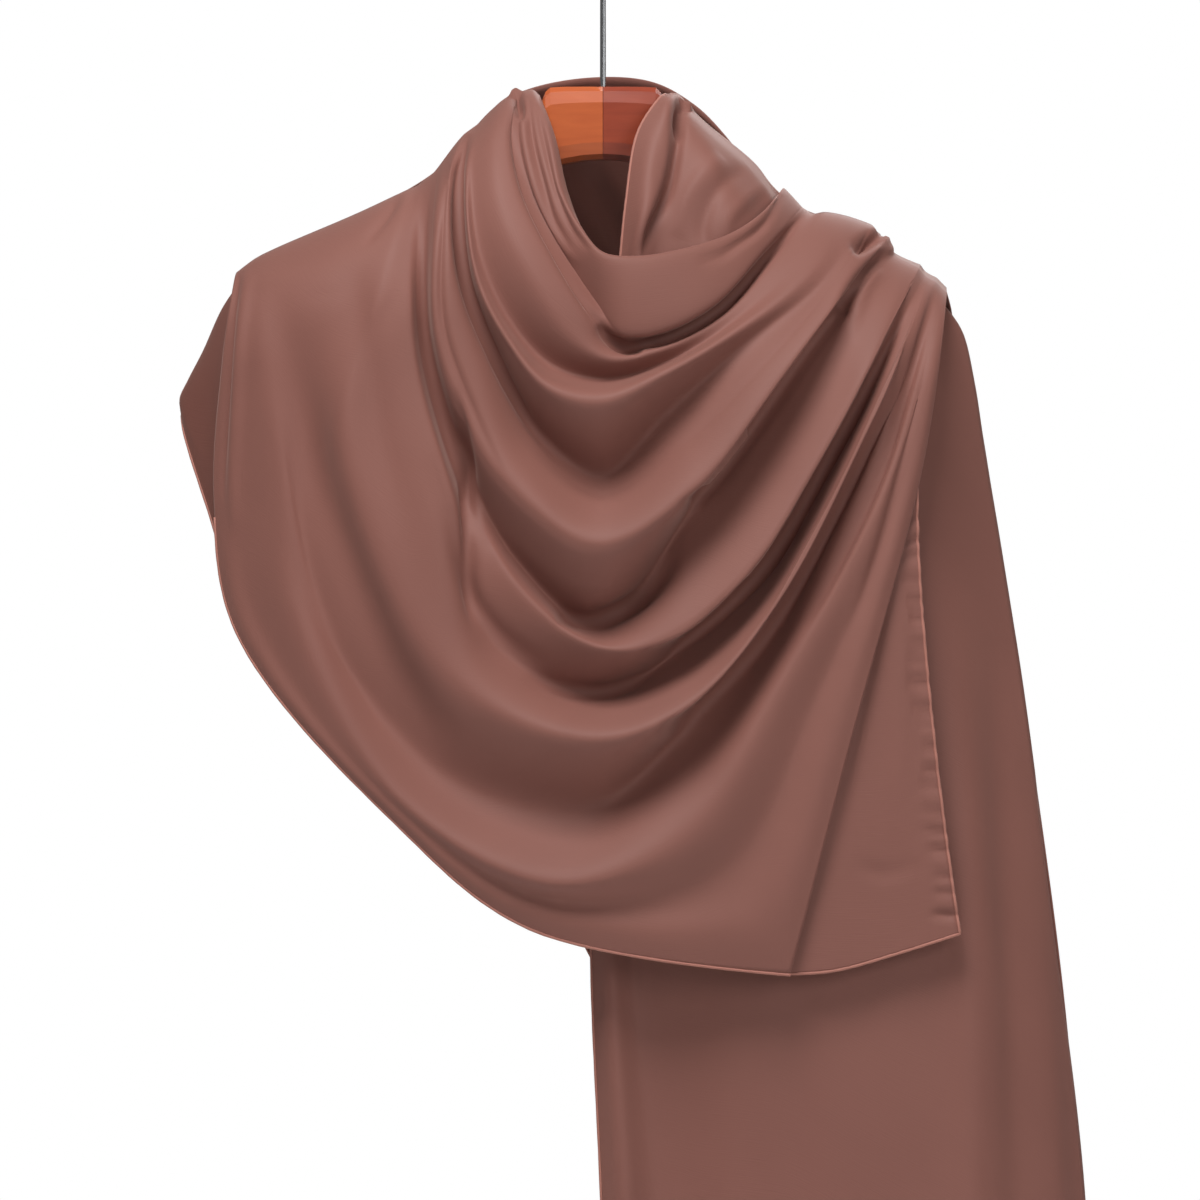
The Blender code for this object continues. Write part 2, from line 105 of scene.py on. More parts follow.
def press(points, creases):
    """Press creases into a sheet: each is (out, width, (across, up), ...); out is the
    height of a ridge, or below 0 the depth of a trough, fading at both ends."""
    side = normals(points)      # turned away from the hanger's plane
    side *= np.where(side[..., 1:2] * points[..., 1:2] < 0, -1.0, 1.0)
    moved = points.copy()
    for out, width, *way in creases:
        way = np.array(way, float)
        run = smooth_through(np.column_stack([way, way[:, 0] * 0.0]),
                             [CREASE_STEPS] * (len(way) - 1))[:, :2]
        best = np.full(points.shape[:2], 1e9)
        share = np.zeros(points.shape[:2])
        flat = points[..., (0, 2)]
        for k, (a, b) in enumerate(zip(run[:-1], run[1:])):
            length = max(float((b - a) @ (b - a)), TINY)
            f = np.clip(((flat - a) @ (b - a)) / length, 0.0, 1.0)
            near = np.linalg.norm(flat - a - f[..., None] * (b - a), axis=-1)
            share = np.where(near < best, (k + f) / (len(run) - 1), share)
            best = np.minimum(near, best)
        fade = np.sin(np.pi * np.clip(share, 0.0, 1.0)) ** CREASE_FADE
        moved += side * (out * fade * np.exp(-(best / width) ** 2))[..., None]
    return moved


def normals(points):
    """Unit normals of a grid of points."""
    out = np.cross(np.gradient(points, axis=0), np.gradient(points, axis=1))
    return out / np.maximum(np.linalg.norm(out, axis=-1, keepdims=True), TINY)


def placed(name, data):
    """An object for this mesh, light or camera, linked to the scene."""
    made = bpy.data.objects.new(name, data)
    bpy.context.scene.collection.objects.link(made)
    return made


def piece(name, points, faces, look):
    """A smooth mesh object at the origin, from points in the tables' millimetres."""
    mesh = bpy.data.meshes.new(name)
    mesh.from_pydata(((points - [0.0, 0.0, HOOK_DROP]) * MM).tolist(), [], faces)
    mesh.update()
    mesh.shade_smooth()
    mesh.materials.append(look)
    return placed(name, mesh)


def run_length(points, axis):
    """The length run so far along one axis of a grid of points."""
    first = points.take([0], axis=axis)
    return np.cumsum(np.linalg.norm(np.diff(points, axis=axis, prepend=first), axis=-1),
                     axis=axis)


def cloth(name, points, look):
    """A thin closed shell round a grid of mid-surface points, with a UV map in metres."""
    n, m = points.shape[:2]
    out = normals(points)
    layers = [points + out * SHELL / 2, points - out * SHELL / 2]
    corners = np.concatenate([layer.reshape(-1, 3) for layer in layers])
    index = np.arange(n * m).reshape(n, m)
    a, b, c, d = index[:-1, :-1], index[1:, :-1], index[1:, 1:], index[:-1, 1:]
    quads = [np.stack([a, b, c, d], -1).reshape(-1, 4),
             np.stack([a, d, c, b], -1).reshape(-1, 4) + n * m]
    rim = np.concatenate([index[0, :], index[1:, -1], index[-1, -2::-1], index[-2:0:-1, 0]])
    turn = np.roll(rim, -1)
    quads.append(np.stack([rim, turn, turn + n * m, rim + n * m], -1))
    made = piece(name, corners, np.concatenate(quads).tolist(), look)
    mesh = made.data
    along, down = run_length(points, 1), run_length(points, 0)
    flat = np.stack([along - along.mean(axis=1, keepdims=True), down], -1) * MM
    flat = np.concatenate([flat.reshape(-1, 2)] * 2)
    loops = np.zeros(len(mesh.loops), int)
    mesh.loops.foreach_get("vertex_index", loops)
    mesh.uv_layers.new(name="cut").data.foreach_set("uv", flat[loops].ravel())
    return made


def rolled_hem(name, line, look):
    """A narrow rolled hem: a tube along one edge of a sheet, nipped at each stitch."""
    line = np.array(line, float)
    heading = np.gradient(line, axis=0)
    heading /= np.maximum(np.linalg.norm(heading, axis=1, keepdims=True), TINY)
    across = np.cross(heading, [0.0, 1.0, 0.0])
    across /= np.maximum(np.linalg.norm(across, axis=1, keepdims=True), TINY)
    up = np.cross(across, heading)
    count = len(line)
    turn = 2 * np.pi * np.arange(HEM_SIDES) / HEM_SIDES
    nip = HEM_RADIUS * (1.0 - STITCH_NIP * (np.arange(count) % STITCH_EVERY == 0))
    ring = (line[:, None] + nip[:, None, None] * (np.cos(turn)[None, :, None] * across[:, None]
            + np.sin(turn)[None, :, None] * up[:, None]))
    index = np.arange(count * HEM_SIDES).reshape(count, HEM_SIDES)
    nxt = np.roll(index, -1, axis=1)
    quads = np.stack([index[:-1], index[1:], nxt[1:], nxt[:-1]], -1).reshape(-1, 4).tolist()
    quads += [index[0].tolist(), index[-1][::-1].tolist()]
    return piece(name, ring.reshape(-1, 3), quads, look)


def linear(code):
    """An sRGB hex colour as linear RGBA."""
    parts = [int(code[k:k + 2], 16) / 255 for k in (1, 3, 5)]
    parts = [c / 12.92 if c <= 0.04045 else ((c + 0.055) / 1.055) ** 2.4 for c in parts]
    return (*parts, 1.0)


def add(tree, kind, links=(), **settings):
    """Add a shader node; settings are its properties, or its sockets as in_NAME."""
    node = tree.nodes.new(kind)
    for key, value in settings.items():
        if key.startswith("in_"):
            node.inputs[key[3:].replace("_", " ")].default_value = value
        else:
            setattr(node, key, value)
    for source, socket in links:
        tree.links.new(source, node.inputs[socket])
    return node


# ---- satin -------------------------------------------------------------------------------
# Polyester satin, woven with long floats: matt in the shade, with a soft broad sheen where
# it turns towards the light, and fine slubs along the crosswise threads.
SATIN_COLOUR, SATIN_DEEP = "#84564c", "#784d44"
SLUB_LENGTH, SLUB_THICK = 0.020, 0.0009     # metres; drawn coarser than the 0.1 mm threads
satin = bpy.data.materials.new("polyester_satin")
satin.use_nodes = True
tree = satin.node_tree
shader = tree.nodes["Principled BSDF"]
shader.inputs["Roughness"].default_value = 0.62
shader.inputs["Specular IOR Level"].default_value = 0.28
shader.inputs["Sheen Weight"].default_value = 0.25
shader.inputs["Sheen Roughness"].default_value = 0.45
shader.inputs["Sheen Tint"].default_value = linear("#d8b6ab")
where = add(tree, "ShaderNodeUVMap", uv_map="cut")
stretch = add(tree, "ShaderNodeMapping", [(where.outputs["UV"], "Vector")],
              in_Scale=(1 / SLUB_LENGTH, 1 / SLUB_THICK, 1.0))
slub = add(tree, "ShaderNodeTexNoise", [(stretch.outputs["Vector"], "Vector")],
           in_Scale=1.0, in_Detail=3.0, in_Roughness=0.6)
patch = add(tree, "ShaderNodeTexNoise", [(where.outputs["UV"], "Vector")],
            in_Scale=9.0, in_Detail=2.0)
shade = add(tree, "ShaderNodeMix", [(patch.outputs["Fac"], "Factor")], data_type="RGBA")
shade.inputs["A"].default_value = linear(SATIN_DEEP)
shade.inputs["B"].default_value = linear(SATIN_COLOUR)
tree.links.new(shade.outputs["Result"], shader.inputs["Base Color"])
weave = add(tree, "ShaderNodeBump", [(slub.outputs["Fac"], "Height")],
            in_Strength=0.5, in_Distance=0.0002)
tree.links.new(weave.outputs["Normal"], shader.inputs["Normal"])

# The rolled hems are painted lighter as a painted highlight, and the single layer at the left arm is
# painted darker as painted shade.
hem_highlight_satin = satin.copy()
hem_highlight_satin.name = "polyester_satin_hem"
single_layer_shade_satin = satin.copy()
single_layer_shade_satin.name = "polyester_satin_single"
for made, light, deep in ((hem_highlight_satin, "#a97265", "#9c675a"),
                          (single_layer_shade_satin, "#6f443b", "#643c33")):
    for node in made.node_tree.nodes:
        if node.bl_idname == "ShaderNodeMix":
            node.inputs["A"].default_value = linear(deep)
            node.inputs["B"].default_value = linear(light)

# ---- the swag across the chest -------------------------------------------------------------
# The stole's middle and end, brought over the left shoulder in a few gathered strands,
# slung across the chest in cowl folds and pleated up over the right shoulder.
SWAG = (
    # name, start, reach, swell, steps, (crisp at the left, middle and right), left_top,
    #       left_high, left_mid, left_low, left_breast, lowest, right_breast, right_low,
    #       right_high, right_top
    ("neck_inside", 14, 120, 0, 2, (0, 0, 0), (-39.2, -4, 0), (-29, -33, -6), (-21, -68, -6),
     (-11, -93, -4), (2, -110, -2), (22, -113, -2), (50, -107, -1), (77, -94.5, 2),
     (98, -78.5, 3), (108.4, -63.8, 0.8)),
    ("neck_edge", 14, 120, 3, 4, (0.3, 0.3, 0.6), (-43, -1, 0), (-33, -29, 0), (-26, -65, 3),
     (-14, -89, 8), (0, -105, 14), (22, -107, 15), (52, -101, 13), (79, -91, 9), (100, -75, 5),
     (110, -61.5, 0)),
    ("collar_lip", 14, 120, 0, 2, (0, 0.6, 0.8), (-49, -2, 0), (-50, -33, -4), (-42, -67, -5),
     (-23, -105, -3), (-4, -134, 0), (13, -155, 6), (41, -150, 9), (71, -132, 9), (100, -98, 7),
     (121, -73, 0)),
    ("throat_edge", 14, 120, 0, 2, (0.8, 0.6, 0.3), (-54, -3, 0), (-55, -33, 4), (-47, -68, 8),
     (-28, -107, 9), (-9, -139, 8), (9, -160, -3), (37, -155, -5), (69, -137, -5),
     (101, -102, -3), (124, -75, 0)),
    ("throat_rim", 14, 115, 0, 2, (0, 0, 0), (-62, -8, 0), (-66, -40, 9), (-60, -81, 14),
     (-41, -121, 15), (-20, -154, 12), (4, -168, 9), (33, -163, 6), (70, -144, 3),
     (105, -109, 2), (128, -77, 0)),
    ("throat_dip", 13, 110, 0, 2, (0, 0.3, 0), (-71, -17, 0), (-78, -49, 5), (-74, -102, 5),
     (-57, -143, 3), (-32, -171, 0), (1, -180, -1), (33, -172, 0), (72, -150, 3),
     (111, -115, 4), (135, -76, 0)),
    ("throat_roll", 12, 105, 0, 3, (0.5, 0, 0), (-76, -22, 0), (-82, -52, 7), (-76, -118, 11),
     (-57, -157, 18), (-32, -186, 25), (-1, -193, 26), (37, -177, 23), (76, -154, 14),
     (121, -119, 8), (147, -78, 0)),
    ("breast_dip", 11, 100, 0, 2, (0.8, 0.3, 0), (-80, -25, 0), (-86, -54, -3), (-81, -120, -6),
     (-63, -164, -7), (-41, -206, -10), (-1, -237, -12), (39, -200, -3), (81, -163, 5),
     (129, -124, 5), (158, -81.5, 0)),
    ("strap_edge", 10, 95, 4, 4, (0.3, 0, 0.3), (-85, -29, 0), (-91, -57, 3), (-87, -119, 4),
     (-69, -173, 4), (-44, -218, -2), (-1, -250, -1), (50, -218, 13), (91, -178, 18),
     (134, -128, 9), (164, -84, 0)),
    ("strap_lip", 8, 90, 0, 3, (0.6, 0.2, 0.9), (-99, -47, 0), (-103, -90, 6), (-102, -150, 9),
     (-80, -214, 12), (-48, -254, 22), (-2, -281, 29), (57, -245, 31), (100, -190, 27),
     (143, -131, 15), (174, -91, 0)),
    ("tube_edge", 7, 85, 0, 3, (0.2, 0.2, 0.3), (-103, -52, 0), (-107, -94, -1),
     (-105, -156, -4), (-82, -229, -7), (-51, -289, -9), (-2, -328, -13), (55, -254, -8),
     (99, -198, -8), (143, -138, -4), (178, -101, 0)),
    ("tube_lip", 7, 85, 0, 3, (0.3, 0.3, 0.9), (-108, -56, 0), (-111, -98, 0), (-108, -164, -2),
     (-84, -244, -6), (-50, -305, 9), (-2, -340, 16), (46, -333, 23), (96, -284, 25),
     (154, -185, 15), (193, -108, 0)),
    ("panel_edge", 6, 80, 0, 3, (0.2, 0.4, 0.0), (-113, -60, 0), (-116, -104, 3),
     (-112, -172, 7), (-90, -248, 12), (-68, -334, 0), (-3, -367, -12), (47, -341, -12),
     (98, -294, -11), (155, -192, -5), (196, -112, 0)),
    ("fourth_lip", 6, 78, 0, 4, (0.2, 0.2, 0.5), (-118, -62, 0), (-132, -120, 7),
     (-152, -215, 12), (-118, -315, 17), (-68, -374, 22), (-2, -394, 26), (48, -377, 28),
     (98, -323, 25), (162, -202, 13), (199, -114, 0)),
    ("belly_dip", 5, 72, 0, 3, (0, 0, 0.3), (-150, -77, 0), (-172, -150, 0), (-178, -270, 0),
     (-142, -362, -2), (-88, -420, -5), (-8, -436, -9), (47, -392, -12), (99, -337, -11),
     (167, -210, -4), (203, -116, 0)),
    ("outer_roll", 5, 68, 0, 3, (0, 0, 0), (-199, -98, 0), (-203, -150, 3), (-193, -240, 5),
     (-186, -314, 8), (-118, -433, 15), (-24, -480, 24), (52, -448, 21), (104, -366, 17),
     (178, -224, 9), (206, -119, 0)),
    ("outer_dip", 5, 66, 0, 2, (0, 0, 0.5), (-211, -104, 0), (-215, -156, 2), (-219, -244, 2),
     (-207, -324, 3), (-121, -438, 12), (-35, -490, 11), (74, -474, 9), (127, -372, 10),
     (184, -229, 9), (207, -120, 0)),
    ("end_roll", 5, 65, 0, 2, (0, 0, 0), (-218, -109, 0), (-223, -159, 1), (-229, -249, 1),
     (-215, -329, 4), (-123, -441, 11), (-40, -499, 12), (97, -502, 13), (141, -380, 13),
     (188, -232, 9), (208, -121, 0)),
    ("hem_line", 5, 64, 0, 0, (0, 0, 0), (-223, -113, 0), (-230, -168, -3), (-235, -252, -4),
     (-221, -331, 1), (-125, -444.5, 7), (-44, -508, 8), (112, -536, 9), (150, -390, 10),
     (191, -235, 7), (209, -122, 0)),
)
PLACE_STEPS = tuple(4 * count for count in (7, 5, 4, 4, 4, 4, 4, 4, 6))
CORNER_CRISP = {"end_roll": 0.5, "hem_line": 1.0}   # how sharply these rows turn at the corner
CORNER_PLACE = 6        # right_breast, where the hem meets the end's corner
END_BEHIND = 6.0        # how far behind the hanger's plane the pleats end
FULL_BELLY = 50.0       # rows this far apart belly by their whole swell
SWAG_HEM = slice(50, 113)   # the free edge, from the left arm to the corner
SWAG_CREASES = (
    # out, width, then places (across, up): first the collar's right side and inside
    (-4.5, 2.6, (8, -157), (24, -158.5), (40, -155.5), (70, -138.5), (101, -103.5), (124, -76)),
    (-5.0, 3.2, (-3, -148), (4, -156), (12, -161), (24, -163)),
    (-3.0, 2.8, (108, -66), (100, -82), (94, -89), (82, -98), (70, -106), (56, -110)),
    # the collar's band at the left and the strands beside the block
    (-7.0, 2.8, (-53, -2), (-52, -8), (-50, -15), (-49, -24)),
    (-4.5, 2.6, (-54, -6), (-54, -33), (-46, -68), (-27, -107), (-9, -138), (4, -154)),
    (-3.5, 2.2, (-45, -6), (-43, -33), (-37, -60), (-30, -84), (-18, -104)),
    (-3.0, 2.2, (-40, -12), (-36, -33), (-32, -52), (-27, -72), (-18, -92), (-8, -104)),
    (3.0, 3.0, (-47, -8), (-47, -33), (-40, -64), (-28, -92), (-14, -112)),
    (-5.0, 3.0, (-82, -30), (-87, -56), (-83, -119), (-65, -167), (-44, -206), (-24, -232)),
    (-3.0, 2.6, (-93, -44), (-96, -90), (-95, -150), (-78, -198), (-60, -236)),
    (-2.5, 5.0, (-106, -58), (-107, -96), (-106, -158), (-92, -216), (-82, -246), (-66, -284)),
    (-3.0, 5.0, (-104, -226), (-92, -262), (-80, -306), (-62, -332), (-34, -352)),
    (-6.0, 3.6, (-88, -186), (-82, -224), (-80, -262), (-79, -300), (-78, -328)),
    # the turned edge of the left panel, with the single layer beyond it
    (-3.0, 2.4, (-220, -112), (-224, -150), (-227, -200), (-229, -250)),
    (2.5, 4.0, (-214, -112), (-218, -150), (-221, -200), (-223, -240), (-222, -270)),
    (-2.0, 3.0, (-123, -68), (-130, -80), (-143, -98)),
    (-5.0, 12.0, (-200, -120), (-186, -180), (-170, -241), (-148, -300), (-124, -354), (-92, -402)),
    (4.0, 12.0, (-168, -130), (-154, -210), (-132, -284), (-106, -344), (-74, -390)),
    (-2.5, 9.0, (-150, -110), (-142, -160), (-132, -220), (-118, -270)),
    # dark lines under the main folds, left to right
    (-6.0, 3.0, (46, -254), (58, -250), (72, -236), (98, -200), (120, -168), (143, -137), (170, -98)),
    (-6.5, 3.4, (20, -346), (47, -338), (72, -318), (98, -292), (126, -244), (155, -192), (190, -112)),
    (-7.0, 3.6, (34, -388), (50, -383), (74, -362), (99, -330), (130, -276), (160, -214), (196, -118)),
    (-4.0, 3.0, (120, -330), (140, -292), (166, -236), (184, -180), (202, -122)),
    (3.0, 3.4, (112, -330), (134, -288), (160, -234), (178, -180), (197, -122)),
    (-3.0, 3.2, (150, -330), (168, -272), (184, -212), (203, -128)),
    (-7.0, 5.0, (-30, -322), (-2, -323), (24, -310), (44, -286)),
    (-5.0, 5.0, (-46, -358), (-20, -366), (4, -366), (28, -358)),
    # the first pleat's rolled opening and the hooked crease below it
    (-9.0, 4.2, (150, -101), (157, -97), (164, -92.5), (171, -91)),
    (3.5, 2.6, (160, -90), (167, -87), (173, -88), (176, -95), (174, -102)),
    (-5.5, 3.0, (172, -102), (162, -110), (151, -122), (145, -135), (148, -142)),
    (3.0, 4.0, (168, -112), (158, -124), (152, -138), (146, -156)),
)


def swag_points(place_steps, finer):
    """The swag's mid surface as rows of points, in millimetres."""
    lines = []
    for row in SWAG:
        start, reach = row[1], row[2]
        places = np.array(row[6:], float)
        flat = np.column_stack([places[:, 0], places[:, 1], places[:, 2] * 0.0,
                                places[:, 2]])
        crisp = np.zeros(len(flat))
        crisp[CORNER_PLACE] = CORNER_CRISP.get(row[0], 0.0)
        run = smooth_through(flat, place_steps, crisp)
        x, z, out = run[:, 0], run[:, 1], run[:, 3]
        t = np.linspace(0.0, 1.0, len(run))
        w = t * t * (3.0 - 2.0 * t)
        top = z[0] * (1.0 - w) + z[-1] * w
        behind = start * (1.0 - w) + END_BEHIND * w
        forward = over_shoulder(top - z, reach)
        y = behind - (chest(x) + behind + out) * forward
        lines.append(np.column_stack([x, y, z]))
    lines = np.array(lines)
    steps = [row[4] * finer for row in SWAG[:-1]]
    share = np.linspace(0.0, 2.0, lines.shape[1])
    crisp = np.array([np.interp(share, (0.0, 1.0, 2.0), row[5]) for row in SWAG])
    points = smooth_through(lines, steps, crisp)
    # the bellied stretches between two lines
    at = 0
    for i, count in enumerate(steps):
        gap = np.linalg.norm(lines[i + 1] - lines[i], axis=-1)
        for j in range(1, count):
            f = j / count
            points[at + j, :, 1] -= SWAG[i][3] * swell(f) * np.clip(gap / FULL_BELLY, 0.0, 1.0)
        at += count
    return points


swag = press(swag_points(PLACE_STEPS, 4), SWAG_CREASES)
stole_swag = cloth("satin_swag", swag, satin)
swag_hem = rolled_hem("satin_swag_hem", swag[-1, SWAG_HEM], hem_highlight_satin)
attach(stole_swag, "root")
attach(swag_hem, "root")
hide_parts("stole_front_swag")

# ---- the tail ------------------------------------------------------------------------------
# The stole's beginning: it hangs in front at the right, its long inner edge rolled in a
# narrow fold, and its outer side goes round the arm to the back.
TAIL = (
    # name, steps, inner_edge, inner_roll, inner_fold, panel, middle, under_fold, outer, side
    ("over_shoulder", 2, (41.7, -3, 12), (46, -4, 10), (50, -9, 8), (62, -21, 6), (92, -46, 5),
     (105, -62, 5), (152, -98.5, 5), (204, -129, 1)),
    ("beside_block", 2, (33.6, -9, -17.8), (41, -10, -21), (47, -15, -15), (66, -33, -19),
     (98, -63, -16), (118, -91, -14), (166, -110, -15), (211, -137, 1)),
    ("neck_side", 2, (21, -30, -30), (32, -34, -40), (43, -34, -32), (71, -58, -40),
     (104, -89, -27), (125, -115, -23), (172, -133, -25), (219, -150, 1)),
    ("collar_side", 2, (14, -72, -45), (25, -76, -56), (35, -78, -47), (71, -100, -52),
     (110, -130, -42), (132, -153, -34), (177, -165, -33), (226, -180, 1)),
    ("under_collar", 2, (10, -112, -52), (21, -115, -60), (31, -117, -53), (71, -145, -54),
     (115, -180, -47), (139, -194, -43), (183, -210, -36), (232, -219, 1)),
    ("chest", 2, (3, -192, -54), (13, -194, -60), (25, -196, -54), (75, -235, -54),
     (124, -266, -47), (148, -276, -43), (192, -290, -37), (243, -285, 1)),
    ("waist", 2, (-5, -342, -52), (6, -343, -60), (22, -345, -52), (83, -378, -55),
     (139, -390, -49), (163, -392, -46), (208, -390, -38), (257, -375, 1)),
    ("below_swag", 2, (-7, -523, -50), (4, -525, -60), (20, -531, -50), (95, -543, -56),
     (152, -538, -51), (184, -534, -48), (236, -528, -38), (275, -516, 1)),
    ("knee", 2, (-1, -672, -50), (13, -672, -61), (33, -672, -49), (112, -672, -58),
     (170, -672, -54), (204, -672, -50), (247, -672, -36), (293, -672, 1)),
    ("end_hem", 0, (5, -882, -50), (21, -882, -62), (41, -882, -48), (122, -882, -60),
     (178, -882, -55), (214, -882, -52), (257, -882, -36), (301, -882, 1)),
)
TAIL_ACROSS = tuple(5 * count for count in (2, 2, 4, 4, 2, 4, 4))
TAIL_HEM_FROM = 8       # the first row of the inner edge with a hem, below the shoulder
TAIL_CREASES = (
    (-5.0, 2.8, (46, -6), (47, -22), (44, -44), (39, -67), (29, -88), (24, -108)),
    (2.5, 3.4, (39, -6), (38, -30), (34, -56), (25, -84), (17, -108)),
    (-6.0, 3.0, (52, -10), (48, -16), (46, -24), (46, -34)),
    (-3.0, 5.0, (88, -50), (74, -60), (64, -74), (60, -92), (66, -104)),
    (2.5, 5.0, (72, -44), (60, -56), (50, -72), (44, -94)),
    (2.0, 4.0, (98, -60), (86, -70), (76, -82), (72, -96)),
    (-4.0, 11.0, (238, -330), (243, -450), (248, -560), (252, -700), (256, -900)),
    (3.0, 12.0, (212, -300), (219, -450), (222, -600), (222, -760), (226, -900)),
    (2.5, 9.0, (262, -420), (270, -560), (276, -700), (284, -900)),
    (-2.0, 16.0, (120, -480), (118, -620), (112, -760), (110, -900)),
    (1.5, 14.0, (70, -500), (74, -640), (72, -780), (76, -900)),
)


def table_points(table, across_steps, finer):
    """A sheet whose table rows hold (across, up, depth) straight away."""
    lines = []
    for row in table:
        places = np.array(row[2:], float)
        lines.append(smooth_through(places[:, (0, 2, 1)], across_steps))
    return smooth_through(np.array(lines), [row[1] * finer for row in table[:-1]])


tail = press(table_points(TAIL, TAIL_ACROSS, 8), TAIL_CREASES)
stole_tail = cloth("satin_tail", tail, satin)
tail_hem = rolled_hem("satin_tail_hem", np.concatenate([tail[TAIL_HEM_FROM:, 0], tail[-1]]),
                      hem_highlight_satin)
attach(stole_tail, "root")
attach(tail_hem, "root")
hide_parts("stole_tail")

# ---- the back ------------------------------------------------------------------------------
# Out of sight in front: the cloth goes from the left arm behind the neck and round to the
# tail, with its long hem slanting down across the back.
BACK = (
    # name, steps, left_front, left_arm, left_blade, left_neck, nape_left, nape_right,
    #       right_neck, right_blade, right_arm, tail_side
    ("shoulder_line", 2, (-219, -119, -7), (-219, -116.5, 5.5), (-165, -85.5, 7), (-104, -52.5, 9.8),
     (-56, -4.5, 17), (20, 6.5, 21.5), (56, -10, 16), (120, -81, 7), (170, -104, 7), (207.5, -133, 1.6)),
    ("upper_back", 2, (-225, -138, -15), (-231, -134, 4), (-178, -110, 34), (-112, -88, 40),
     (-52, -40, 46), (30, -36, 48), (70, -58, 44), (126, -98, 40), (176, -130, 34),
     (219, -152, 1.3)),
    ("blades", 2, (-229, -166, -23), (-243, -160, 7), (-192, -146, 48), (-122, -132, 60),
     (-58, -112, 66), (26, -112, 66), (76, -122, 64), (134, -142, 60), (186, -165, 46),
     (226, -184, 1.2)),
    ("arm_level", 3, (-232, -200, -26), (-252, -177, 8), (-200, -180, 52), (-128, -190, 66),
     (-62, -200, 72), (24, -205, 70), (84, -215, 69), (146, -230, 62), (200, -240, 48),
     (238, -256, 1.2)),
    ("low_back", 3, (-233, -240, -27.3), (-257, -188, 9), (-206, -214, 52), (-136, -262, 66),
     (-66, -330, 72), (22, -380, 70), (96, -410, 69), (162, -420, 62), (220, -420, 48),
     (260, -400, 1.2)),
    ("skirt", 3, (-233, -262, -27.3), (-256, -192, 9), (-205, -226, 50), (-132, -300, 64),
     (-50, -410, 70), (40, -520, 68), (118, -590, 66), (182, -610, 60), (240, -610, 46),
     (284, -590, 1.2)),
    ("end_hem", 0, (-233, -276, -27), (-255, -196, 8), (-203, -238, 48), (-124, -330, 62),
     (-30, -490, 68), (70, -690, 66), (140, -880, 64), (204, -884, 58), (256, -884, 44),
     (301, -884, 1.2)),
)
BACK_ACROSS = tuple(5 * count for count in (3, 4, 4, 4, 4, 3, 4, 4, 4))
BACK_FOLD = 8.0         # depth of the upright folds
FOLDS_FROM, FOLDS_TO, FOLDS_FADE = 0.16, 0.97, 0.12     # shares of the way across
SHADED_LEFT, SHADED_FRONT = -0.226, 0.004   # metres; beyond these the cloth is one layer, painted darker as shade
BACK_CREASES = (
    (6.0, 10.0, (-160, -110), (-110, -170), (-40, -250), (40, -330), (110, -420)),
    (-7.0, 9.0, (-120, -90), (-70, -160), (0, -240), (80, -330), (150, -440)),
    (6.0, 9.0, (-60, -60), (-20, -120), (50, -200), (120, -300)),
    (-5.0, 8.0, (-180, -150), (-140, -220), (-80, -310), (0, -420), (60, -520)),
    (5.0, 10.0, (-190, -190), (-150, -250), (-90, -350), (-10, -470), (50, -580)),
    (5.0, 12.0, (100, -500), (130, -620), (160, -760), (170, -870)),
    (-6.0, 12.0, (180, -420), (200, -560), (220, -720), (226, -870)),
    (-5.0, 10.0, (70, -520), (96, -640), (120, -770), (126, -870)),
    (4.0, 5.0, (-30, -8), (-20, -40), (10, -90), (60, -150)),
    (-4.0, 5.0, (-12, 0), (0, -40), (30, -84), (80, -140)),
)


def back_points(across_steps, finer):
    """The back's table with uneven upright folds that open out towards the hem."""
    points = table_points(BACK, across_steps, finer)
    n, m = points.shape[:2]
    v = np.linspace(0.0, 1.0, n)[:, None]
    u = np.linspace(0.0, 1.0, m)[None, :]
    inside = (np.clip((u - FOLDS_FROM) / FOLDS_FADE, 0.0, 1.0)
              * np.clip((FOLDS_TO - u) / FOLDS_FADE, 0.0, 1.0))
    fold = np.sin(2 * np.pi * (4.0 * u + 1.3 * v)) + 0.5 * np.sin(2 * np.pi * (7.0 * u - v))
    points[..., 1] += BACK_FOLD * inside * fold * (v * (1.3 - v)) ** 0.5
    return points


back = press(back_points(BACK_ACROSS, 5), BACK_CREASES)
stole_back = cloth("satin_back", back, satin)
# the single layer at the left arm gets the darker satin, a painted shade
stole_back.data.materials.append(single_layer_shade_satin)
for face in stole_back.data.polygons:
    if face.center.x < SHADED_LEFT and face.center.y < SHADED_FRONT:
        face.material_index = 1
back_hem = rolled_hem("satin_back_hem", back[-1], hem_highlight_satin)
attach(stole_back, "root")
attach(back_hem, "root")
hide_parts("stole_back")

# ---- the end's corner ----------------------------------------------------------------------
# The flat of the stole's end beside the last pleat: its lower corner hangs free, with the
# short end's hem up its outer side, puckered by its stitching.
CORNER = (
    # name, steps, tucked, under_pleat, panel, side_hem
    ("pleat_top", 3, (176, -238, -64), (181, -237, -63.9), (185, -236, -63.8), (188, -235, -62)),
    ("upper", 3, (166, -300, -67), (173, -300, -66), (182, -299, -64), (190, -298, -63)),
    ("middle", 3, (146, -400, -70), (163, -400, -67), (181, -399, -64), (199, -398, -62)),
    ("lower", 3, (120, -490, -72), (146, -486, -69), (175, -482, -65), (209, -478, -63)),
    ("hem", 0, (104, -536, -73), (138, -534, -70), (176, -524, -65), (214, -512, -63)),
)
CORNER_CREASES = [
    (-2.0, 6.0, (176, -250), (168, -300), (158, -360), (144, -430), (126, -500)),
    (1.5, 8.0, (178, -300), (178, -380), (176, -460)),
    (-1.2, 5.0, (150, -470), (168, -476), (190, -470)),
]
